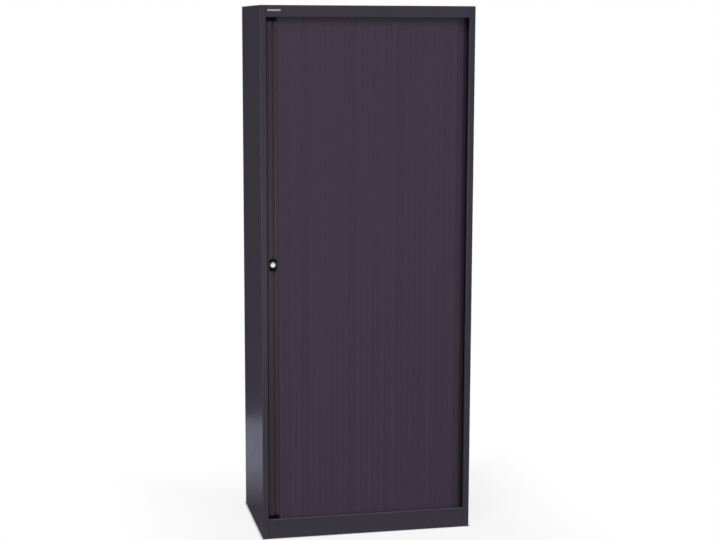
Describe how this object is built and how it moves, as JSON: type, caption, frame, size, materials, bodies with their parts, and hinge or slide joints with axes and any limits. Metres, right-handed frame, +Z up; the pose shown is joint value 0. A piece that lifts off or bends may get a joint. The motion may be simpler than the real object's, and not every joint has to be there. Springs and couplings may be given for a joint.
{
  "type": "side-opening shutter cupboard",
  "caption": "Tall steel storage cupboard closed by one side-opening shutter of vertical slats, with a lock in its closing bar, shelves inside and levelling feet.",
  "frame": {"origin": "on the floor under the middle of the cupboard, the bottom centre of its box", "axes": "+X to the right seen from the front, +Y from the front to the back, +Z up"},
  "size_m": [0.8, 0.47, 1.98],
  "materials": {
    "powder_coat": "charcoal powder coat, fine texture",
    "inner_coat": "charcoal powder coat, smooth",
    "slat_plastic": "charcoal extruded plastic, satin",
    "bar_coat": "charcoal powder coat on the hollow bar",
    "black_plastic": "black moulded plastic",
    "track_plastic": "dark extruded plastic",
    "bright_nickel": "bright nickel plate on a die casting",
    "zinc_plate": "zinc plated steel",
    "rubber": "black rubber",
    "blank_label": "satin anodised, blank"
  },
  "bodies": {
    "cupboard": {"access_plugs": "black_plastic", "back_panel": "powder_coat", "back_screws": "zinc_plate", "base_tray": "inner_coat", "bottom_track_front": "track_plastic", "bottom_track_front_corner": "track_plastic", "bottom_track_rear": "track_plastic", "bottom_track_rear_corner": "track_plastic", "bottom_track_screws": "zinc_plate", "bottom_track_side": "track_plastic", "ceiling_panel": "inner_coat", "closing_buffers": "rubber", "floor_panel": "inner_coat", "foot_brackets": "zinc_plate", "foot_nuts": "zinc_plate", "header_rail": "powder_coat", "inner_back": "inner_coat", "label_plate": "blank_label", "left_liner": "inner_coat", "left_side_panel": "powder_coat", "plinth_front": "powder_coat", "right_liner": "inner_coat", "right_side_panel": "powder_coat", "shelf_1": "inner_coat", "shelf_2": "inner_coat", "shelf_3": "inner_coat", "shelf_4": "inner_coat", "shelf_clips": "zinc_plate", "shutter_slats": "slat_plastic", "striker_plate": "zinc_plate", "striker_rivets": "zinc_plate", "top_panel": "powder_coat", "top_track_front": "track_plastic", "top_track_front_corner": "track_plastic", "top_track_rear": "track_plastic", "top_track_rear_corner": "track_plastic", "top_track_screws": "zinc_plate", "top_track_side": "track_plastic", "top_tray": "inner_coat"},
    "shutter_bar": {"closing_bar": "bar_coat", "end_guide_bottom": "black_plastic", "end_guide_top": "black_plastic", "lock_surround": "black_plastic", "lock_housing": "bright_nickel", "lock_nut": "zinc_plate"},
    "lock": {"lock_plug": "bright_nickel", "lock_hook": "zinc_plate", "lock_hook_screw": "zinc_plate"},
    "foot_front_left": {"foot_stud_front_left": "zinc_plate", "foot_pad_front_left": "black_plastic"},
    "foot_front_right": {"foot_stud_front_right": "zinc_plate", "foot_pad_front_right": "black_plastic"},
    "foot_rear_left": {"foot_stud_rear_left": "zinc_plate", "foot_pad_rear_left": "black_plastic"},
    "foot_rear_right": {"foot_stud_rear_right": "zinc_plate", "foot_pad_rear_right": "black_plastic"}
  },
  "joints": [
    {"name": "shutter_slide", "type": "slide", "parent": "cupboard", "child": "shutter_bar", "axis": [1, 0, 0], "range_m": [0, 0.665], "deforming": ["shutter_slats"]},
    {"name": "lock_turn", "type": "hinge", "parent": "shutter_bar", "child": "lock", "pos_m": [-0.357, -0.2129, 1.04], "axis": [0, -1, 0], "range_deg": [0, 90]},
    {"name": "foot_front_left_height", "type": "slide", "parent": "cupboard", "child": "foot_front_left", "axis": [0, 0, -1], "range_m": [0, 0.02]},
    {"name": "foot_front_right_height", "type": "slide", "parent": "cupboard", "child": "foot_front_right", "axis": [0, 0, -1], "range_m": [0, 0.02]},
    {"name": "foot_rear_left_height", "type": "slide", "parent": "cupboard", "child": "foot_rear_left", "axis": [0, 0, -1], "range_m": [0, 0.02]},
    {"name": "foot_rear_right_height", "type": "slide", "parent": "cupboard", "child": "foot_rear_right", "axis": [0, 0, -1], "range_m": [0, 0.02]}
  ]
}
